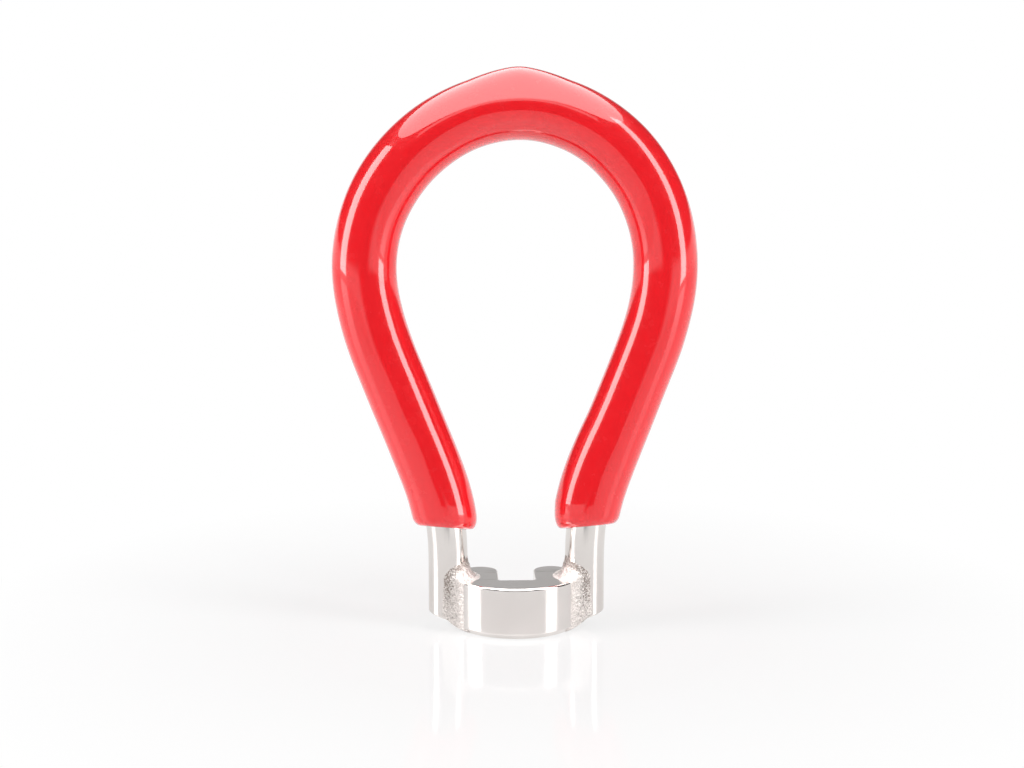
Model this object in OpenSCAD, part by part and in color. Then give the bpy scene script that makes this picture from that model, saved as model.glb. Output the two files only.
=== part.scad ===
// Spoke wrench: a square-slot head brazed between the ends of a teardrop loop of round rod,
// with the loop dipped in a thick soft coat. Millimetres, +Z up, the slot opens towards +Y.
// The origin lies on the axis of the nipple that the slot holds, in the plane of the head's foot.

/* [Nipple slot] */
// Width across the flats of the square nipple
nipple_w = 3.45; // [2.8:0.01:4.1]
// Play between the nipple and the two jaws
slot_play = 0.05; // [0.02:0.01:0.2]
// Rounding in the two closed corners of the slot
slot_corner_r = 0.3; // [0.1:0.05:0.6]
// Broken edge along the slot, top and bottom
slot_break = 0.12; // [0.05:0.01:0.25]

/* [Head] */
// Height of the head, along the nipple
head_h = 5; // [4:0.1:7]
// Metal between the slot and the nose
web_t = 3.48; // [2.5:0.02:5]
// Radius of the nose, seen from above
nose_r = 6.4; // [5.5:0.1:8]
// Width of each prong beside the slot
prong_w = 3.5; // [2.6:0.1:4.5]
// Reach of the prongs past the nipple's axis
prong_reach = 3.5; // [2.8:0.1:5]
// Bevel around the top face
top_bevel = 0.3; // [0.1:0.05:0.5]
// Bevel around the foot
foot_bevel = 0.5; // [0.2:0.05:0.8]

/* [Rod] */
// Diameter of the round rod
rod_d = 3.8; // [3:0.1:5]
// Depth to which each rod end sinks into the side of the head
rod_sink = 0.55; // [0.3:0.05:0.9]
// Height of the sheared rod ends above the foot, on the rod's axis
rod_end_z = 1.05; // [0.6:0.05:2]
// Slope of the sheared rod ends, rising outwards
rod_end_slope = 16; // [5:1:30]

/* [Loop] */
// Height where the loop starts to lean away from the nose
lean_z = 6; // [5:0.1:8]
// Radius of the bend into the lean
lean_bend_r = 12; // [8:1:20]
// Lean of the loop, which lets the spoke pass in front of the crown
lean_angle = 6; // [3:0.5:9]
// Short straight between the lean and the spread
neck_gap = 0.3; // [0.2:0.1:1]
// Radius of the bend that spreads the two legs
neck_r = 20.3; // [15:0.1:30]
// Angle between each leg and the middle line
spread_angle = 21.8; // [16:0.1:27]
// Radius of the wide first bend above the legs
shoulder_r = 30.6; // [24:0.1:38]
// Turn of the shoulder bend
shoulder_turn = 11.1; // [6:0.1:15]
// Radius of the main side bend
haunch_r = 15.6; // [12:0.1:20]
// Turn of the main side bend
haunch_turn = 55.3; // [43:0.1:66]
// Radius of the top bend
crown_r = 14; // [10.5:0.1:17]

/* [Dipped coat] */
// Thickness of the coat
coat_t = 1.2; // [0.8:0.05:1.6]
// Height of the coat's rims on the rod's axis
rim_z = 9.8; // [9:0.1:14]
// Fall of the rims towards the back
rim_fall = 12; // [0:1:15]
// Fall of the rims towards the middle
rim_lean = 2.5; // [0:0.5:6]
// Height of the drip that hardened on the crown
drip_h = 0.85; // [0.4:0.05:1.3]
// Angle from the top at which the drip starts to swell
drip_spread = 42; // [30:1:50]

/* [Braze] */
// Radius of the fillet between nose and rod
front_fillet_r = 2.6; // [1.6:0.1:3.4]
// Radius of the fillet between prong and rod
back_fillet_r = 0.9; // [0.6:0.1:1.4]
// Width of the braze on top of the head, beside the rod
braze_reach = 1.3; // [0.8:0.1:1.6]
// Turn of that braze from the middle line towards the nose
braze_turn = 30; // [0:5:45]
// Height to which the braze climbs the rod
braze_climb = 2.4; // [1.5:0.1:3]
// Slope of the braze under the rod end
skirt_slope = 35; // [20:1:45]
// Height of the braze's lowest edge
skirt_z = 0.15; // [0.1:0.05:0.4]

/* [Hidden] */
$fn = 96;

slot_w = nipple_w + slot_play;
slot_end_y = -nipple_w / 2;
nose_y = slot_end_y - web_t + nose_r;
prong_x = slot_w / 2 + prong_w / 2;
prong_y = prong_reach - prong_w / 2;
flank_x = slot_w / 2 + prong_w;

rod_r = rod_d / 2;
rod_x = flank_x + rod_r - rod_sink;
coat_r = rod_r + coat_t;

// Larger than the whole wrench: the side of the blocks that trim it
far = 4 * (haunch_r + neck_r);
// Every second stretch of the bar is this much fuller, and its neighbours end inside it
swell = 0.01;
lap = 5 * swell;

// Where the leaning plane starts, above the bend
lean_y = lean_bend_r * (1 - cos(lean_angle));
lean_top = lean_z + lean_bend_r * sin(lean_angle);

// Centres and turns of the loop's arcs in the leaning plane, right half
neck_end = [rod_x + neck_r * (1 - cos(spread_angle)), neck_gap + neck_r * sin(spread_angle)];
shoulder_end = shoulder_turn - spread_angle;
haunch_end = shoulder_end + haunch_turn;
crown_shift = (shoulder_r - haunch_r) * cos(shoulder_end) + (haunch_r - crown_r) * cos(haunch_end);
leg_l = (shoulder_r * cos(spread_angle) - crown_shift - neck_end.x) / sin(spread_angle);
leg_end = neck_end + leg_l * [sin(spread_angle), cos(spread_angle)];
shoulder_c = leg_end + shoulder_r * [-cos(spread_angle), sin(spread_angle)];
haunch_c = shoulder_c + (shoulder_r - haunch_r) * [cos(shoulder_end), sin(shoulder_end)];
crown_c = haunch_c + (haunch_r - crown_r) * [cos(haunch_end), sin(haunch_end)];

// The drip: two arcs that leave the crown's outer edge smoothly and meet at a blunt point
crown_edge = crown_r + coat_r;
drip_edge = crown_edge + drip_h;
drip_shift = (pow(drip_edge, 2) - pow(crown_edge, 2)) / (2 * (crown_edge - drip_edge * cos(drip_spread)));

// Shift of the climbing braze's axis, and its narrowing upwards, as shares of its width
shift_share = 0.75;
narrow_share = 1.1;

// Centre of the circle of radius r that touches circles a and b from outside, left of a to b
function touching(a, ra, b, rb, r) =
    let (d = norm(b - a), u = (b - a) / d, p = ra + r, q = rb + r)
    let (t = (d * d + p * p - q * q) / (2 * d), h = sqrt(p * p - t * t))
    a + t * u + h * [-u.y, u.x];

module both_sides() {
    children();
    mirror([1, 0, 0]) children();
}

// All that lies below the plane through the point, which rises by the slopes along X and Y
module below(point, rise_x, rise_y) {
    translate(point) rotate([rise_y, -rise_x, 0]) translate([-far / 2, -far / 2, -far]) cube(far);
}

// A disc with a bevel around the foot and around the top face
module bevelled_disc(r) {
    rotate_extrude()
        polygon([[0, 0], [r - foot_bevel, 0], [r, foot_bevel], [r, head_h - top_bevel],
                 [r - top_bevel, head_h], [0, head_h]]);
}

// Straight flanks beside the slot, from the nose to the prong ends
module flanks() {
    translate([0, prong_y, 0]) rotate([90, 0, 0]) linear_extrude(prong_y)
        polygon([[-flank_x + foot_bevel, 0], [flank_x - foot_bevel, 0], [flank_x, foot_bevel],
                 [flank_x, head_h - top_bevel], [flank_x - top_bevel, head_h],
                 [-flank_x + top_bevel, head_h], [-flank_x, head_h - top_bevel],
                 [-flank_x, foot_bevel]]);
}

// The slot with its rounded closed corners and broken edges, open towards +Y
module slot() {
    inner_x = slot_w / 2 - slot_corner_r;
    corner_y = slot_end_y + slot_corner_r;
    translate([0, 0, -head_h]) linear_extrude(3 * head_h) union() {
        translate([-slot_w / 2, corner_y]) square([slot_w, far]);
        translate([-inner_x, slot_end_y]) square([2 * inner_x, far]);
        both_sides() translate([inner_x, corner_y]) circle(slot_corner_r);
    }
    break_x = slot_w / 2 + slot_break;
    translate([0, far, 0]) rotate([90, 0, 0]) linear_extrude(far - slot_end_y)
        polygon([[-break_x, 0], [break_x, 0], [0, break_x]]);
    translate([0, far, head_h]) rotate([90, 0, 0]) linear_extrude(far - slot_end_y)
        polygon([[-break_x, 0], [break_x, 0], [0, -break_x]]);
}

// One bend of the loop in its own plane, between two angles about the given centre
module bend(c, r, from, to, bar_r) {
    translate([c.x, 0, c.y]) rotate([90, 0, 0]) rotate([0, 0, from])
        rotate_extrude(angle = to - from) translate([r, 0]) circle(bar_r);
}

module leaned() {
    translate([0, lean_y, lean_top]) rotate([-lean_angle, 0, 0]) children();
}

// One straight of the loop in its own plane, which ends inside the bends at both ends
module straight(foot, angle, l, bar_r) {
    translate([foot.x, 0, foot.y]) rotate([0, angle, 0]) translate([0, 0, -lap])
        cylinder(h = l + 2 * lap, r = bar_r);
}

// One upright rod end with its bend into the lean and the leg above, up to the crown
module half_bar(bar_r) {
    full_r = bar_r + swell;
    lap_angle = lap / haunch_r * 180 / PI;
    straight([rod_x, 0], 0, lean_z, bar_r);
    translate([rod_x, lean_bend_r, lean_z]) rotate([90, 0, -90])
        rotate_extrude(angle = lean_angle) translate([lean_bend_r, 0]) circle(full_r);
    leaned() {
        straight([rod_x, 0], 0, neck_gap, bar_r);
        bend([rod_x + neck_r, neck_gap], neck_r, 180 - spread_angle, 180, full_r);
        straight(neck_end, spread_angle, leg_l, bar_r);
        bend(shoulder_c, shoulder_r, -spread_angle, shoulder_end, full_r);
        bend(haunch_c, haunch_r, shoulder_end - lap_angle, haunch_end + lap_angle, bar_r);
    }
}

// The whole teardrop loop of a round bar
module bar(bar_r) {
    both_sides() half_bar(bar_r);
    leaned() bend(crown_c, crown_r, haunch_end, 180 - haunch_end, bar_r + swell);
}

module bare_rod() {
    difference() {
        bar(rod_r);
        both_sides() below([rod_x, 0, rod_end_z], rod_end_slope, 0);
    }
}

// Right half of the drip: the coat's section swept on a wider arc, up to the middle plane
module half_drip() {
    away = drip_shift * [sin(drip_spread), cos(drip_spread)];
    intersection() {
        bend(crown_c - away, crown_r + drip_shift, 90 - drip_spread, 90 + drip_spread, coat_r);
        translate([0, -far / 2, -far / 2]) cube(far);
    }
}

module head_block() {
    difference() {
        union() {
            intersection() {
                translate([0, nose_y, 0]) bevelled_disc(nose_r);
                translate([-far / 2, -far, 0]) cube(far);
            }
            flanks();
            both_sides() translate([prong_x, prong_y, 0]) bevelled_disc(prong_w / 2);
        }
        slot();
    }
}

// The head with a round seat down each side for the rod ends
module seated_head() {
    difference() {
        head_block();
        both_sides() translate([0, 0, -lean_z]) straight([rod_x, 0], 0, 2 * lean_z, rod_r);
    }
}

module wrench_head() {
    color("lightslategray") seated_head();
}

module rod_loop() {
    color("silver") bare_rod();
}

module vinyl_grip() {
    color("crimson") difference() {
        union() {
            bar(coat_r);
            leaned() both_sides() half_drip();
        }
        bar(rod_r);
        both_sides() below([rod_x, 0, rim_z], rim_lean, -rim_fall);
    }
}

// Filled groove between two round walls, with a hollow face that touches both
module groove_fill(a, ra, b, rb, r) {
    f = touching(a, ra, b, rb, r);
    under_a = f + (a - f) * (r + rod_r) / (r + ra);
    under_b = f + (b - f) * (r + rod_r) / (r + rb);
    translate([0, 0, skirt_z]) linear_extrude(head_h - top_bevel - skirt_z) difference() {
        polygon([under_a, under_b, f]);
        translate(f) circle(r);
    }
}

// Braze on the right side: both grooves and the seat under the rod end filled, and a crescent
// that climbs the rod
module braze() {
    rod_at = [rod_x, 0];
    cone_shift = shift_share * braze_reach;
    cone_r = rod_r - cone_shift + braze_reach;
    cone_z = head_h - top_bevel - slot_break;
    difference() {
        union() {
            groove_fill(rod_at, rod_r, [0, nose_y], nose_r, front_fillet_r);
            groove_fill([prong_x, prong_y], prong_w / 2, rod_at, rod_r, back_fillet_r);
            translate([rod_x, 0, skirt_z]) cylinder(h = rod_end_z, r = rod_r);
            translate([rod_x, 0, cone_z]) rotate([0, 0, braze_turn]) translate([-cone_shift, 0, 0])
                cylinder(h = braze_climb, r1 = cone_r, r2 = cone_r - narrow_share * braze_reach);
        }
        seated_head();
        bare_rod();
        below([flank_x, 0, skirt_z], skirt_slope, 0);
    }
}

module left_braze_fillet() {
    color("darkgray") mirror([1, 0, 0]) braze();
}

module right_braze_fillet() {
    color("darkgray") braze();
}

wrench_head();
rod_loop();
vinyl_grip();
left_braze_fillet();
right_braze_fillet();
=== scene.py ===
"""A small wrench for the square nipples of wheel spokes: a slotted steel head brazed between the
two ends of a teardrop loop of plated rod, with the loop dipped in soft red vinyl."""

from math import cos, radians, sin, tan

import bpy
import numpy as np
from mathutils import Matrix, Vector


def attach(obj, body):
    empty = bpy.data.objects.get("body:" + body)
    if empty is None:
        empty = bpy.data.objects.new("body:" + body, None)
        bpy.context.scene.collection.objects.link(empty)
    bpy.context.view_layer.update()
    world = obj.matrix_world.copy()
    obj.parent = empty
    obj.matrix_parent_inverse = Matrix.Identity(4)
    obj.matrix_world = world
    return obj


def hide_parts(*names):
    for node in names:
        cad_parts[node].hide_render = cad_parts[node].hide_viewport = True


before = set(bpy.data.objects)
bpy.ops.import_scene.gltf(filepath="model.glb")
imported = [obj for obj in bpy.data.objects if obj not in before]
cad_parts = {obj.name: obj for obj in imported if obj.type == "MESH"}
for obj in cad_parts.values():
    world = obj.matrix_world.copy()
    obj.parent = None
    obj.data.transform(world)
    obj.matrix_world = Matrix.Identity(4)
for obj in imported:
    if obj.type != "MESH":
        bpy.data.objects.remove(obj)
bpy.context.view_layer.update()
scene = bpy.context.scene

# CAMERA. A long lens stands a hand's length in front of the wrench and a little above it,
# slightly to the left of the middle plane. Sizes in this file are in millimetres, and only the
# clip distances and the lamps are in metres.
MM = 0.001
camera_at = (-8.75, -213.8, 63.5)
camera_pitch, camera_heading = 10.5, -2.232
camera_data = bpy.data.cameras.new("product_camera")
camera_data.lens = 80.16
camera_data.clip_start, camera_data.clip_end = 0.01, 30
camera = bpy.data.objects.new("product_camera", camera_data)
camera.location = [c * MM for c in camera_at]
camera.rotation_euler = (radians(90 - camera_pitch), 0, radians(camera_heading))
scene.collection.objects.link(camera)
scene.camera = camera

# WRENCH HEAD. A block of steel in the shape of a horseshoe, sintered or milled, with a slot as
# wide as the nipple's flats. It is bevelled around its foot and rounded along its top edge, and
# plated after the brazing.
slot_half, slot_end_y, slot_corner = 1.75, -1.725, 0.3
nose_r, nose_y = 6.4, 1.195
prong_r, prong_x, prong_y = 1.75, 3.5, 1.75
head_h, foot_bevel, slot_break = 5.0, 0.5, 0.12
top_edge_r, edge_r, mitre_fade = 0.24, 0.06, 0.8
rod_r, rod_x = 1.9, 6.6


def shell(name, rows, finish, marks=None):
    """Closed shell through rows of points, shape (rows, columns, 3), in millimetres. Each four
    neighbours make a face, the columns run right round, and the two end rows close on their means.
    Marks are one number for each point, which the finish can read as the attribute "marks"."""
    count, around = rows.shape[:2]
    points = np.concatenate([rows.reshape(-1, 3), rows[[0, -1]].mean(axis=1)]) * MM
    i, j = np.meshgrid(np.arange(count - 1), np.arange(around), indexing="ij")
    k = (j + 1) % around
    here, beside = i * around + j, i * around + k
    quads = np.stack([here, here + around, beside + around, beside], -1)
    ring, next_one = np.arange(around), (np.arange(around) + 1) % around
    last = (count - 1) * around
    near = np.stack([ring, next_one, np.full(around, count * around)], -1)
    far = np.stack([last + next_one, last + ring, np.full(around, count * around + 1)], -1)
    faces = [*quads.reshape(-1, 4).tolist(), *near.tolist(), *far.tolist()]
    mesh = bpy.data.meshes.new(name)
    mesh.from_pydata(points.tolist(), [], faces)
    mesh.shade_smooth()
    if marks is not None:
        attribute = mesh.attributes.new("marks", "FLOAT", "POINT")
        attribute.data.foreach_set("value", [*marks.ravel(), 0, 0])
    mesh.materials.append(finish)
    piece = bpy.data.objects.new(name, mesh)
    scene.collection.objects.link(piece)
    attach(piece, "root")
    return piece


def arc(centre, r, start, stop, n):
    """Points of an arc about the centre, and their outward normals; angles in degrees from +X."""
    a = np.radians(np.linspace(start, stop, n))
    normal = np.stack([np.cos(a), np.sin(a)], -1)
    return np.array(centre) + r * normal, normal


def line(start, stop, normal, n):
    """Points of a straight line, all with the same outward normal."""
    t = np.linspace(0, 1, n)[:, None]
    return (1 - t) * np.array(start) + t * np.array(stop), np.tile(np.array(normal, float), (n, 1))


def new_finish(name, colour, roughness, metallic=0.0):
    """A material with one Principled shader; returns the material, its node tree and the shader."""
    material = bpy.data.materials.new(name)
    material.use_nodes = True
    tree = material.node_tree
    shader = tree.nodes["Principled BSDF"]
    shader.inputs["Base Color"].default_value = (*colour, 1)
    shader.inputs["Roughness"].default_value = roughness
    shader.inputs["Metallic"].default_value = metallic
    return material, tree, shader


def speckle(tree, grains, detail=2.0, rough=0.5):
    """Noise on Object coordinates with so many grains per millimetre along X, Y and Z."""
    place = tree.nodes.new("ShaderNodeTexCoord")
    scale = tree.nodes.new("ShaderNodeMapping")
    scale.inputs["Scale"].default_value = [g / MM for g in grains]
    noise = tree.nodes.new("ShaderNodeTexNoise")
    noise.inputs["Scale"].default_value = 1.0
    noise.inputs["Detail"].default_value = detail
    noise.inputs["Roughness"].default_value = rough
    tree.links.new(place.outputs["Object"], scale.inputs["Vector"])
    tree.links.new(scale.outputs["Vector"], noise.inputs["Vector"])
    return noise.outputs["Fac"]


def ranged(tree, value, low, high, from_low=0.3, from_high=0.7):
    """Carries a value from one range to another, held at both ends."""
    node = tree.nodes.new("ShaderNodeMapRange")
    numbers = {"From Min": from_low, "From Max": from_high, "To Min": low, "To Max": high}
    for socket, number in numbers.items():
        node.inputs[socket].default_value = number
    tree.links.new(value, node.inputs["Value"])
    return node.outputs["Result"]


def blended(tree, share, first, second):
    """Mixes two colours, or a colour with what another node gives, by a share from 0 to 1."""
    node = tree.nodes.new("ShaderNodeMix")
    node.data_type = "RGBA"
    tree.links.new(share, node.inputs["Factor"])
    for socket, colour in ((node.inputs[6], first), (node.inputs[7], second)):
        if isinstance(colour, bpy.types.NodeSocket):
            tree.links.new(colour, socket)
        else:
            socket.default_value = (*colour, 1)
    return node.outputs[2]


def bumped(tree, shader, height, depth, before=None):
    """Raises the surface by so many millimetres of the height, over an earlier bump if any."""
    bump = tree.nodes.new("ShaderNodeBump")
    bump.inputs["Strength"].default_value = 1.0
    bump.inputs["Distance"].default_value = depth * MM
    tree.links.new(height, bump.inputs["Height"])
    if before is not None:
        tree.links.new(before, bump.inputs["Normal"])
    tree.links.new(bump.outputs["Normal"], shader.inputs["Normal"])
    return bump.outputs["Normal"]


head_nickel, tree, shader = new_finish("satin_nickel_plate", (0.77, 0.74, 0.71), 0.14, 1.0)
clouds = speckle(tree, (0.35, 0.35, 0.35), 3)
plate_colour = blended(tree, clouds, (0.79, 0.745, 0.72), (0.86, 0.815, 0.79))
tree.links.new(plate_colour, shader.inputs["Base Color"])
grit = speckle(tree, (9, 9, 9), 3, 0.6)
tree.links.new(ranged(tree, grit, 0.10, 0.20), shader.inputs["Roughness"])
milled = bumped(tree, shader, speckle(tree, (6, 6, 0.5), 2), 0.0012)
bumped(tree, shader, grit, 0.0010, milled)

# The nose meets the round seat of the rod where both circles cross
seat_gap = np.hypot(rod_x, nose_y)
seat_turn = np.arccos((nose_r ** 2 + seat_gap ** 2 - rod_r ** 2) / (2 * nose_r * seat_gap))
nose_stop = np.degrees(np.arctan2(-nose_y, rod_x) - seat_turn)
meet = np.array([0, nose_y]) + nose_r * np.array([cos(radians(nose_stop)), sin(radians(nose_stop))])
seat_start = np.degrees(np.arctan2(meet[1], meet[0] - rod_x)) % 360
flank_x = slot_half + 2 * prong_r
flank_y = np.sqrt(rod_r ** 2 - (rod_x - flank_x) ** 2)
seat_stop = np.degrees(np.arctan2(flank_y, flank_x - rod_x))

n_nose, n_seat, n_flank, n_prong, n_corner = 72, 24, 6, 40, 16
seat, seat_normal = arc((rod_x, 0), rod_r, seat_start, seat_stop, n_seat)
outer = [arc((0, nose_y), nose_r, -90, nose_stop, n_nose), (seat, -seat_normal),
         line((flank_x, flank_y), (flank_x, prong_y), (1, 0), n_flank),
         arc((prong_x, prong_y), prong_r, 0, 90, n_prong)]
inner_x, corner_y = slot_half - slot_corner, slot_end_y + slot_corner
corner, corner_normal = arc((inner_x, corner_y), slot_corner, -90, 0, n_corner)
# Of each slot side, this share lies across from the rod's seat, and the rest across from the flank
side_share = 0.8
side_y = corner_y + side_share * (prong_y - corner_y)
inner = [line((0, slot_end_y), (inner_x, slot_end_y), (0, 1), n_nose - n_corner),
         (corner, -corner_normal),
         line((slot_half, corner_y), (slot_half, side_y), (-1, 0), n_seat),
         line((slot_half, side_y), (slot_half, prong_y), (-1, 0), n_flank),
         arc((prong_x, prong_y), prong_r, 180, 90, n_prong)]
outer_at, outer_normal = (np.concatenate(p) for p in zip(*outer))
inner_at, inner_normal = (np.concatenate(p) for p in zip(*inner))
# Both corners of the seat are mitred: the normals there turn to
# (before + after) / (1 + before . after), and the turn fades out along the wall
for k in (n_nose, n_nose + n_seat):
    before, after = outer_normal[k - 1].copy(), outer_normal[k].copy()
    mitre = (before + after) / (1 + before @ after)
    corner_gap = np.linalg.norm(outer_at - outer_at[k], axis=1)
    near_corner = np.clip(1 - corner_gap / mitre_fade, 0, 1)[:, None]
    outer_normal[:k] += near_corner[:k] * (mitre - before)
    outer_normal[k:] += near_corner[k:] * (mitre - after)

# The rod's seat cuts through the foot bevel and the round top edge, which die out inwards along it.
# The slot's fine break grows to both of them round the prong's end
seat_depth = np.minimum(nose_r - np.hypot(seat[:, 0], seat[:, 1] - nose_y), flank_x - seat[:, 0])
seat_depth = np.where(seat[:, 1] > 0, flank_x - seat[:, 0], seat_depth)
depth = np.concatenate([np.zeros(n_nose), np.maximum(seat_depth, 0), np.zeros(n_flank + n_prong)])
tip_share = np.concatenate([np.zeros(n_nose + n_seat + n_flank), np.linspace(0, 1, n_prong)])
tip_share = tip_share ** 2 * (3 - 2 * tip_share)


def wall_rows(at, normal, top_cut, foot_cut):
    """Wall profile at every plan point: (inset, height) runs over the top face's margin, round
    the top edge as a quarter circle, down the wall, along the foot bevel and under the foot. Each
    of the bevel's two corners is cut off at edge_r from its tip and becomes five points."""
    margin, least_cut, wall_top = 0.08, 0.02, head_h - 0.5
    zero = np.zeros(len(at))
    top_r, foot = np.maximum(top_cut, least_cut)[:, None], np.maximum(foot_cut, least_cut)
    turn = np.radians(np.linspace(0, 90, 10))[None]
    quarter = np.stack([top_r * (1 - np.sin(turn)), head_h - top_r * (1 - np.cos(turn))], -1)
    section = [np.stack([top_r[:, 0] + margin, zero + head_h], -1), *np.moveaxis(quarter, 1, 0)]
    corners = [(zero, zero + wall_top), (zero, foot), (foot, zero), (foot + margin, zero)]
    corners = [np.stack(c, -1) for c in corners]
    for before, tip, after in zip(corners, corners[1:], corners[2:]):
        back_len = np.linalg.norm(before - tip, axis=1, keepdims=True)
        on_len = np.linalg.norm(after - tip, axis=1, keepdims=True)
        back, on = (before - tip) / back_len, (after - tip) / on_len
        r = np.minimum(edge_r, 0.3 * np.minimum(back_len, on_len))
        section += [tip + 1.5 * r * back, tip + r * back, tip + 0.25 * r * (back + on)]
        section += [tip + r * on, tip + 1.5 * r * on]
    section = np.stack(section, 1)
    plan = at[:, None] - normal[:, None] * section[..., :1]
    return np.concatenate([plan, section[..., 1:]], -1)


outer_wall = wall_rows(outer_at, outer_normal, top_edge_r - depth, foot_bevel - depth)
inner_top = slot_break + (top_edge_r - slot_break) * tip_share
inner_foot = slot_break + (foot_bevel - slot_break) * tip_share
inner_wall = wall_rows(inner_at, inner_normal, inner_top, inner_foot)
right_half = np.concatenate([outer_wall, inner_wall[:, ::-1]], 1)
left_half = right_half[:0:-1] * (-1, 1, 1)
head_walls = np.concatenate([left_half, right_half])
wrench_head = shell("steel_wrench_head", head_walls, head_nickel)
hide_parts("wrench_head")

# ROD LOOP. One length of round drawn steel rod, bent cold into a teardrop that leans away from
# the nose, with both ends sheared off at a slant. It is nickel plated, and fine draw lines run
# along it.
end_z, end_slope, end_fade, burr = 1.05, 16.0, 20, 0.12
lean_z, lean_bend_r, lean = 6.0, 40.0, 6.2
neck_z, neck_r, spread = 7.56, 20.3, 21.8
shoulder_r, shoulder_turn, haunch_r, haunch_turn, crown_r = 30.6, 11.1, 15.6, 55.3, 14.0

# Lengths of the rod between its bends and the heading at each joint, from the foot to the apex
turns = np.radians([0, 0, spread, spread, spread - shoulder_turn,
                    spread - shoulder_turn - haunch_turn, -90])
stretches = np.array([neck_z, neck_r * radians(spread), 0,
                      shoulder_r * radians(shoulder_turn), haunch_r * radians(haunch_turn),
                      crown_r * radians(90 + spread - shoulder_turn - haunch_turn)])


def sideways(lengths):
    """How far the half loop goes sideways: the sum of sin(heading) over its length."""
    joints = np.concatenate([[0], np.cumsum(lengths)])
    s = np.linspace(0, joints[-1], 8001)
    at_middles = np.interp((s[1:] + s[:-1]) / 2, joints, turns)
    return np.sum(np.sin(at_middles) * np.diff(s))


# The straight leg is as long as it must be for the two halves to meet at the apex
stretches[2] = -(rod_x + sideways(stretches)) / sin(radians(spread))
joints = np.concatenate([[0], np.cumsum(stretches)])
loop_len = 2 * joints[-1]
fine = np.linspace(0, loop_len, 4801)
climb = np.minimum(fine, loop_len - fine)
# Past the apex the heading is mirrored, to -180 degrees - heading
heading = np.interp(climb, joints, turns)
heading = np.where(fine > loop_len / 2, -np.pi - heading, heading)
# The real bends run into each other without a step in their curve: a running mean over 4 mm
mean_half = 80
window = np.ones(2 * mean_half + 1) / (2 * mean_half + 1)
heading = np.convolve(np.pad(heading, mean_half, mode="edge"), window, mode="valid")
tilt = np.radians(lean) * np.clip((climb - lean_z) / (lean_bend_r * radians(lean)), 0, 1)
lean_y, lean_up = np.sin(tilt), np.cos(tilt)
ahead = np.stack([np.sin(heading), np.cos(heading) * lean_y, np.cos(heading) * lean_up], -1)
outward = np.stack([np.cos(heading), -np.sin(heading) * lean_y, -np.sin(heading) * lean_up], -1)
steps = (ahead[1:] + ahead[:-1]) / 2 * np.diff(fine)[:, None]
centre_line = np.concatenate([[[rod_x, 0, 0]], [rod_x, 0, 0] + np.cumsum(steps, axis=0)])
# What the running mean leaves open at the left seat is shared out along the rod
centre_line[:, 0] -= (centre_line[-1, 0] + rod_x) * fine / loop_len
# The bending left the crown a little to the right of the middle: sway times (height share) ^ 1.5
sway, sway_from, sway_over = 0.47, 34.0, 16.0
centre_line[:, 0] += sway * np.clip((centre_line[:, 2] - sway_from) / sway_over, 0, 1) ** 1.5


def on_bar(s, angle, r):
    """Points at distance r from the centre line at lengths s: centre + r (cos(angle) outward +
    sin(angle) front), where outward lies in the loop's plane and front is that plane's normal."""
    at, out = (np.stack([np.interp(s, fine, v[:, k]) for k in range(3)], -1)
               for v in (centre_line, outward))
    lean_here = np.interp(s, fine, tilt)
    front = np.stack([0 * s, -np.cos(lean_here), np.sin(lean_here)], -1)
    return at + r[..., None] * (np.cos(angle)[..., None] * out + np.sin(angle)[..., None] * front)


def end_to_end(near, body, count):
    """Lengths and radii of a bar's rows: the end's own (length, radius) pairs, evenly spaced rows
    of the body's radius, and the same end again, mirrored."""
    near = np.array(near)
    middle = np.linspace(near[-1, 0] + 0.3, loop_len - near[-1, 0] - 0.3, count)
    s = np.concatenate([near[:, 0], middle, loop_len - near[::-1, 0]])
    return s, np.concatenate([near[:, 1], np.full(count, body), near[::-1, 1]])


rod_nickel, tree, shader = new_finish("bright_nickel_rod", (0.78, 0.75, 0.72), 0.12, 1.0)
draw_lines = speckle(tree, (7, 7, 0.09), 3, 0.55)
mist = speckle(tree, (0.5, 0.5, 0.3), 3)
rod_colour = blended(tree, mist, (0.77, 0.725, 0.695), (0.83, 0.79, 0.765))
tree.links.new(rod_colour, shader.inputs["Base Color"])
tree.links.new(ranged(tree, draw_lines, 0.08, 0.17), shader.inputs["Roughness"])
lined = bumped(tree, shader, draw_lines, 0.0016)
bumped(tree, shader, speckle(tree, (1.6, 1.6, 1.2), 2), 0.0020, lined)

# The sheared end is flat and rounds over into the rod's side within the height of its burr
rod_columns = np.linspace(0, 2 * np.pi, 96, endpoint=False)[None]
rod_end = [(0, 0.5 * rod_r), (0, rod_r - burr - 0.04), (0, rod_r - burr),
           (0.3 * burr, rod_r - 0.3 * burr), (burr, rod_r), (burr + 0.05, rod_r)]
rod_s, rod_radii = end_to_end(rod_end, rod_r, 420)
# The slanted cut moves a row by r cos(angle) tan(slope) along the rod, and fades out over end_fade
cut = end_z + rod_radii[:, None] * np.cos(rod_columns) * tan(radians(end_slope))
rod_from_end = np.minimum(rod_s, loop_len - rod_s)[:, None]
signed_cut = np.where((rod_s < loop_len / 2)[:, None], cut, -cut)
rod_places = rod_s[:, None] + signed_cut * np.clip(1 - rod_from_end / end_fade, 0, 1)
rod_rows = on_bar(rod_places, rod_columns, np.broadcast_to(rod_radii[:, None], rod_places.shape))
rod_loop = shell("plated_rod_loop", rod_rows, rod_nickel)
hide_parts("rod_loop")

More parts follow.
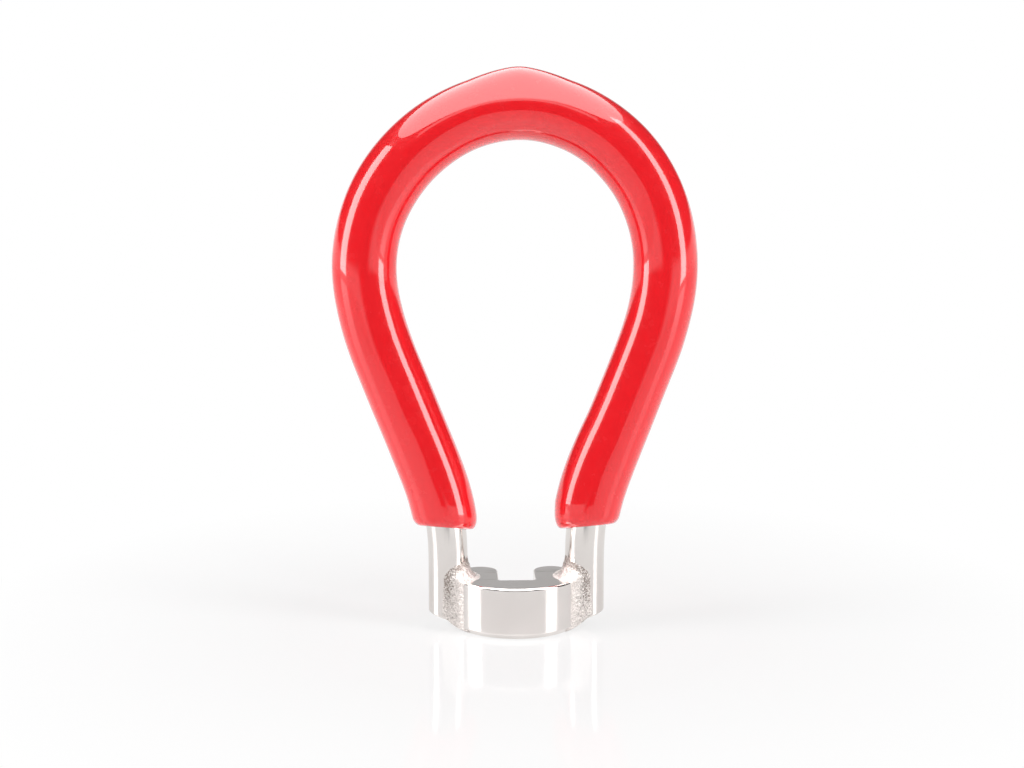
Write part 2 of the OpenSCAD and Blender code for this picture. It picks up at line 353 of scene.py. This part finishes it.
# BRAZE FILLETS. Filler metal that ran into the grooves between head and rod and climbed the
# rod's inner side. It froze with a sandy skin, and the plating over it stays matt, with dark pits
# along its edge.
braze_foot_z, braze_slope, braze_top, skirt_r, foot_round = 0.05, 35.0, 7.6, 2.3, 0.1
groove_reach, groove_climb, groove_fade = 0.97, 1.75, 0.012
crown_reach, crown_climb, front_climb, climb_width, reach_width = 1.40, 2.40, 1.55, 52.0, 75
lift_from, lift_over, back_over, back_share, back_loss = 4.4, 0.9, 1.2, 0.3, 0.45
braze_columns = np.linspace(0, 2 * np.pi, 160, endpoint=False)


def head_gap(x, y, z):
    """Distance to the head: the plan's distance to nose, flanks and prongs, joined with the height
    above the top face as for a box, so it is exact beside and above the block."""
    nose = np.maximum(np.hypot(x, y - nose_y) - nose_r, y)
    sides = np.maximum(np.maximum(x - flank_x, y - prong_y), -y)
    prong = np.hypot(x - prong_x, y - prong_y) - prong_r
    plan = np.minimum(np.minimum(nose, sides), prong)
    over = z - head_h
    outside = np.hypot(np.maximum(plan, 0), np.maximum(over, 0))
    return outside + np.minimum(np.maximum(plan, over), 0)


def braze_radius(angle, z):
    """Radius of the braze around the rod's axis. It is the first place outwards where
    (1 - a/reach)^2 + (1 - b/climb)^2 falls to 1, with a and b the gaps to rod and head. Reach and
    climb grow above the head's top towards the rod's inner side, and shrink at the back."""
    out = np.linspace(rod_r - 0.1, rod_r + 1.5, 81)
    r, turn, height = out[None, None], angle[..., None], z[..., None]
    x, y = rod_x + r * np.cos(turn), r * np.sin(turn)
    a, b = np.maximum(r - rod_r, 0), np.maximum(head_gap(x, y, height), 0)
    lift = np.clip((height - lift_from) / lift_over, 0, 1)
    lift = lift * lift * (3 - 2 * lift)
    inner_turn = np.degrees(np.abs(turn - np.pi))
    peak = front_climb + (crown_climb - front_climb) * np.exp(-(inner_turn / climb_width) ** 2)
    kept = 1 - np.clip(y / back_over + back_share, 0, 1) * back_loss
    inner_share = np.exp(-(inner_turn / reach_width) ** 4)
    reach = (groove_reach + (crown_reach - groove_reach) * lift * inner_share) * kept
    climb = ((groove_climb - groove_fade * height ** 2) * (1 - lift) + peak * lift) * kept
    filled = np.clip(1 - a / reach, 0, 1) ** 2 + np.clip(1 - b / climb, 0, 1) ** 2
    # The scan starts just inside the rod, where everything counts as filled
    inside = (filled >= 1) | (r < rod_r - 0.04)
    stop = np.argmin(inside, axis=-1)
    stop = np.where(inside.all(axis=-1), len(out) - 1, stop)
    low = np.maximum(stop - 1, 0)
    f_low, f_high = (np.take_along_axis(filled, k[..., None], -1)[..., 0] for k in (low, stop))
    share = np.clip((f_low - 1) / np.maximum(f_low - f_high, 1e-6), 0, 1)
    return out[low] + share * (out[stop] - out[low])


def softened(field, passes):
    """Running mean of a field over its neighbours along both directions, several times."""
    for _ in range(passes):
        field = (np.roll(field, 1, 1) + 2 * field + np.roll(field, -1, 1)) / 4
        up, down = np.concatenate([field[:1], field[:-1]]), np.concatenate([field[1:], field[-1:]])
        field = (up + 2 * field + down) / 4
    return field


sandy_nickel, tree, shader = new_finish("sandy_brazed_nickel", (0.72, 0.69, 0.65), 0.34, 1.0)
sand = speckle(tree, (8, 8, 8), 3, 0.7)
pits = speckle(tree, (7, 7, 7), 2, 0.7)
# Pits are let in where the mark is high, which is along the braze's margin
brink = tree.nodes.new("ShaderNodeAttribute")
brink.attribute_name = "marks"
pitted = tree.nodes.new("ShaderNodeMath")
pitted.operation = "SUBTRACT"
tree.links.new(pits, pitted.inputs[0])
tree.links.new(ranged(tree, brink.outputs["Fac"], 0.0, 0.20, 0.0, 1.0), pitted.inputs[1])
spotted = ranged(tree, pitted.outputs[0], 1.0, 0.0, 0.30, 0.38)
dust = ranged(tree, sand, 0.0, 1.0, 0.36, 0.62)
dusty = blended(tree, dust, (0.52, 0.475, 0.45), (0.86, 0.805, 0.775))
braze_colour = blended(tree, spotted, dusty, (0.30, 0.255, 0.23))
tree.links.new(braze_colour, shader.inputs["Base Color"])
tree.links.new(ranged(tree, sand, 0.36, 0.56), shader.inputs["Roughness"])
sanded = bumped(tree, shader, sand, 0.05)
bumped(tree, shader, pits, 0.03, sanded)

# Rows run from a skirt up to one level top. The skirt lies at the foot beside the head, and climbs
# at braze_slope towards the rod's outer side
q = np.linspace(0, 1, 110)[:, None]
skirt_rise = (rod_x + skirt_r * np.cos(braze_columns) - flank_x) * tan(radians(braze_slope))
skirt = np.maximum(braze_foot_z + skirt_rise, braze_foot_z)
braze_z = skirt[None] + q * (braze_top - skirt[None])
braze_turn = np.broadcast_to(braze_columns[None], braze_z.shape)
braze_r = softened(braze_radius(braze_turn, braze_z), 2)
thick = np.maximum(braze_r - rod_r, 0)
# Where the braze runs out it sinks under the rod's skin, radius - sink exp(-thick / sink_thick),
# and where it is thick its skin is grainy
sink, sink_thick, grain_thick, grain_h = 0.04, 0.012, 0.15, 0.06
grain = softened(np.random.default_rng(11).normal(size=thick.shape), 1) * grain_h
grainy = np.clip(thick / grain_thick, 0, 1)
braze_r = rod_r + thick - sink * np.exp(-thick / sink_thick) + grainy * grain
# The marks are a bell curve over the thickness, weaker towards the foot
pit_thick, pit_spread, pit_z, pit_rise = 0.07, 0.13, 0.8, 3.6
edge_marks = np.exp(-((thick - pit_thick) / pit_spread) ** 2)
edge_marks = edge_marks * np.clip((braze_z - pit_z) / pit_rise, 0.3, 1)
# The foot's edge is rounded: radius - foot_round (1 - sqrt(1 - (1 - share)^2))
round_share = np.clip((braze_z - skirt[None]) / foot_round, 0, 1)
braze_r = braze_r - foot_round * (1 - np.sqrt(1 - (1 - round_share) ** 2))
# The rod has begun to lean at the braze's top: y = (z - lean_z)^2 / (2 bend radius)
rod_y = np.maximum(braze_z - lean_z, 0) ** 2 / (2 * lean_bend_r)
braze_x, braze_y = rod_x + braze_r * np.cos(braze_turn), rod_y + braze_r * np.sin(braze_turn)
side = np.stack([braze_x, braze_y, braze_z], -1)
for name, node, hand in (("left_braze", "left_braze_fillet", -1),
                         ("right_braze", "right_braze_fillet", 1)):
    rows = side * (hand, 1, 1)
    fillet = shell(name, rows[::-1 * hand], sandy_nickel, edge_marks[::-1 * hand])
    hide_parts(node)

# VINYL GRIP. The loop is dipped crown first into liquid vinyl and baked, which leaves a glossy soft
# coat, a little uneven, with rounded rims at the bare rod and the last drip hardened on the crown.
coat_r, rim_z, rim_fall, rim_lean, rim_fade = 3.1, 9.8, 12.0, 2.5, 26
lip, lip_length, rim_slack, calm_from, calm_over = 0.62, 1.9, 0.04, 0.4, 3
drip_h, drip_half, tip_half, tip_r = 0.84, 10.5, 3.5, 0.7
haunch_fill, haunch_at, haunch_over = 0.12, 12, 7
leg_fill, leg_at, leg_over = 0.26, 14, 5.5
red_vinyl, tree, shader = new_finish("glossy_red_vinyl", (0.80, 0.008, 0.014), 0.25)
shader.inputs["IOR"].default_value = 1.5
shader.inputs["Specular IOR Level"].default_value = 0.2
shader.inputs["Coat Weight"].default_value = 1.0
shader.inputs["Coat IOR"].default_value = 1.6
shader.inputs["Coat Roughness"].default_value = 0.035
swirl = speckle(tree, (0.16, 0.16, 0.12), 3)
vinyl_colour = blended(tree, swirl, (0.74, 0.0070, 0.012), (0.80, 0.0095, 0.016))
tree.links.new(vinyl_colour, shader.inputs["Base Color"])
clouded = speckle(tree, (0.9, 0.9, 0.9), 3)
tree.links.new(ranged(tree, clouded, 0.18, 0.30), shader.inputs["Roughness"])
peel = bumped(tree, shader, speckle(tree, (0.30, 0.30, 0.22), 0), 0.004)
bumped(tree, shader, speckle(tree, (4, 4, 4), 1), 0.00005, peel)

# The coat's end starts inside the rod, leaves it in a small hollow and swells to a round lip
coat_columns = np.linspace(0, 2 * np.pi, 128, endpoint=False)[None]
lip_turn = np.radians(np.linspace(0, 90, 9))
coat_end = [(0.25, 0.5 * rod_r), (0.25, rod_r - 0.03), (0.08, rod_r + 0.04), (0.015, rod_r + 0.2)]
lip_s, lip_r = lip_length * (1 - np.sin(lip_turn)), coat_r - lip + lip * np.cos(lip_turn)
coat_end += list(zip(lip_s, lip_r))[::-1]
coat_s, coat_radii = end_to_end(coat_end, coat_r, 560)

# Where each lengthwise line meets the sloped rim plane, found by twelve steps towards
# z = rim_z + (x - rod_x) tan(lean) - y tan(fall)
rim_s = np.full(coat_columns.shape, rim_z)
for _ in range(12):
    x, y, z = np.moveaxis(on_bar(rim_s, coat_columns, np.full(rim_s.shape, coat_r)), -1, 0)
    rim_s = rim_s + rim_z + (x - rod_x) * tan(radians(rim_lean)) - y * tan(radians(rim_fall)) - z
from_end = np.minimum(coat_s, loop_len - coat_s)[:, None]
slant = rim_s * np.clip(1 - from_end / rim_fade, 0, 1)
coat_places = coat_s[:, None] + np.where((coat_s < loop_len / 2)[:, None], slant, -slant)

# Slow swells and hollows of the dipped coat: two sine waves along and around it
wave = 0.010 * np.sin(0.41 * coat_places + 1.3 * np.cos(coat_columns))
wave = wave + 0.006 * np.sin(0.93 * coat_places - 2 * coat_columns + 0.7)
# They and all that follows but the drip grow from nothing at the rims
calm = np.clip((from_end - calm_from) / calm_over, 0, 1)
# The drip falls off on both sides of its tip, as half a broad part (1 - gap/half)^1.6 and half a
# narrow one (1 - gap/half)^1.2, and around the bar as cos^4
across = coat_places - loop_len / 2
tip_gap = np.hypot(across, tip_r) - tip_r
broad = 0.5 * drip_h * np.clip(1 - tip_gap / drip_half, 0, 1) ** 1.6
narrow = 0.5 * drip_h * np.clip(1 - tip_gap / tip_half, 0, 1) ** 1.2
drip = (broad + narrow) * np.clip(np.cos(coat_columns), 0, 1) ** 4
# The coat thins a little towards the crown, and is fuller on both haunches and on the inner side
# of the right leg's foot
inner_side = np.clip(-np.cos(coat_columns), 0, 1) ** 2
fuller = 0.01 - 0.035 * from_end / (loop_len / 2)
fuller = fuller + haunch_fill * np.exp(-((np.abs(across) - haunch_at) / haunch_over) ** 2)
fuller = fuller + leg_fill * np.exp(-((coat_places - leg_at) / leg_over) ** 4) * inner_side
coat_skin = coat_radii[:, None] - rim_slack * (1 - calm) + fuller * calm + wave * calm + drip
coat_rows = on_bar(coat_places, coat_columns, coat_skin)
vinyl_grip = shell("dipped_vinyl_grip", coat_rows, red_vinyl)
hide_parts("vinyl_grip")

# FLOOR. A polished white sheet that the wrench stands on, which mirrors its foot faintly and
# keeps a soft shadow at the contact. It ends a little over half a metre in front of the wrench.
floor_half, floor_front, n_floor = 3000, -550, 8
floor_x = np.linspace(-floor_half, floor_half, n_floor + 1)
floor_y = np.linspace(floor_front, floor_half, n_floor + 1)
floor_points = np.stack([*np.meshgrid(floor_x, floor_y), np.zeros((n_floor + 1, n_floor + 1))], -1)
corner_at = np.arange((n_floor + 1) ** 2).reshape(n_floor + 1, n_floor + 1)
tiles = [corner_at[:-1, :-1], corner_at[:-1, 1:], corner_at[1:, 1:], corner_at[1:, :-1]]
floor_mesh = bpy.data.meshes.new("white_floor")
floor_mesh.from_pydata((floor_points.reshape(-1, 3) * MM).tolist(), [],
                       np.stack(tiles, -1).reshape(-1, 4).tolist())

# The camera sees it whiten to plain white away from the wrench. Gloss sees the same, with a faint
# mirror over it that grows with the distance
white_sheet, tree, shader = new_finish("polished_white_sheet", (0.90, 0.90, 0.90), 0.09)
near_white, far_white, fade_from, fade_to = 0.64, 1.0, 22.0, 56.0
near_polish, far_polish, polish_from, polish_to = 0.06, 0.28, 40.0, 220.0
spot = tree.nodes.new("ShaderNodeTexCoord")
distance = tree.nodes.new("ShaderNodeVectorMath")
distance.operation = "LENGTH"
tree.links.new(spot.outputs["Object"], distance.inputs[0])
how_far = distance.outputs["Value"]
whiter = ranged(tree, how_far, near_white, far_white, fade_from * MM, fade_to * MM)
polish = ranged(tree, how_far, near_polish, far_polish, polish_from * MM, polish_to * MM)
rays = tree.nodes.new("ShaderNodeLightPath")
white = tree.nodes.new("ShaderNodeEmission")
white.inputs["Strength"].default_value = 1.0
mirror = tree.nodes.new("ShaderNodeBsdfGlossy")
mirror.inputs["Roughness"].default_value = 0.05


def either(share, first, second):
    """Mixes two shaders by a share from 0 to 1."""
    node = tree.nodes.new("ShaderNodeMixShader")
    for socket, value in zip(node.inputs, (share, first, second)):
        tree.links.new(value, socket)
    return node.outputs["Shader"]


pictured = either(whiter, shader.outputs["BSDF"], white.outputs["Emission"])
reflected = either(polish, pictured, mirror.outputs["BSDF"])
for_camera = either(rays.outputs["Is Camera Ray"], shader.outputs["BSDF"], pictured)
surface = either(rays.outputs["Is Glossy Ray"], for_camera, reflected)
tree.links.new(surface, tree.nodes["Material Output"].inputs["Surface"])
floor_mesh.materials.append(white_sheet)
floor = bpy.data.objects.new("white_floor", floor_mesh)
scene.collection.objects.link(floor)

# LIGHT. A wide soft box overhead with a smaller one beyond its front edge, a tall strip box on
# each side, and a room that is white behind the wrench and dark around the camera. The lamps'
# places and sizes are in metres.
for name, shape, at, aim, size, radiance in (
        ("top_box", "ELLIPSE", (-0.02, 0, 0.56), (-0.02, 0, 0), (0.92, 1.44), 3.8),
        ("front_edge_box", "RECTANGLE", (-0.02, -0.83, 0.56), (-0.02, -0.83, 0), (0.56, 0.22), 1.5),
        ("left_strip", "RECTANGLE", (-0.54, -0.10, 0.25), (0, 0, 0.10), (0.27, 0.48), 6.5),
        ("right_strip", "RECTANGLE", (0.482, -0.25, 0.36), (0, 0, 0.36), (0.20, 0.70), 6.5)):
    lamp = bpy.data.lights.new(name, "AREA")
    lamp.shape, lamp.size, lamp.size_y = shape, size[0], size[1]
    # Watts are pi times radiance times area
    lamp.energy = radiance * np.pi * size[0] * size[1] * (np.pi / 4 if shape == "ELLIPSE" else 1)
    box = bpy.data.objects.new(name, lamp)
    box.location = at
    box.rotation_euler = (Vector(at) - Vector(aim)).to_track_quat("Z", "Y").to_euler()
    box.visible_camera = False
    # The overhead boxes show in gloss alone: the strips and the room's even level light the colours
    box.visible_diffuse = "strip" in name
    scene.collection.objects.link(box)

room = bpy.data.worlds.new("studio_room")
room.use_nodes = True
tree = room.node_tree
backdrop = tree.nodes["Background"]
place = tree.nodes.new("ShaderNodeTexCoord")
parts = tree.nodes.new("ShaderNodeSeparateXYZ")
tree.links.new(place.outputs["Generated"], parts.inputs["Vector"])
# The back wall is white low down and greyer upwards. Elsewhere a low white wall runs round a dark
# room, and it is dark too straight behind the camera
dark_level, even_level = 0.05, 0.60
upward = tree.nodes.new("ShaderNodeValToRGB")
ramp = upward.color_ramp
ramp.elements[0].position, ramp.elements[0].color = 0.0, (1, 1, 1, 1)
ramp.elements[1].position, ramp.elements[1].color = 0.8, (0.22, 0.22, 0.22, 1)
for position, level in ((0.10, 1.0), (0.27, 0.42)):
    ramp.elements.new(position).color = (level, level, level, 1)
tree.links.new(parts.outputs["Z"], upward.inputs["Fac"])
off_back = ranged(tree, parts.outputs["Y"], 1.0, 0.0, 0.80, 0.95)
low_wall = ranged(tree, parts.outputs["Z"], 1.0, dark_level, 0.05, 0.085)
by_camera = ranged(tree, parts.outputs["Y"], 1.0, 0.0, -0.985, -0.93)
dark_room = blended(tree, by_camera, low_wall, [dark_level] * 3)
room_light = blended(tree, off_back, upward.outputs["Color"], dark_room)
seen = tree.nodes.new("ShaderNodeLightPath")
on_colours = blended(tree, seen.outputs["Is Diffuse Ray"], room_light, [even_level] * 3)
all_rays = blended(tree, seen.outputs["Is Camera Ray"], on_colours, (1, 1, 1))
tree.links.new(all_rays, backdrop.inputs["Color"])
scene.world = room
scene.view_settings.view_transform = "Standard"
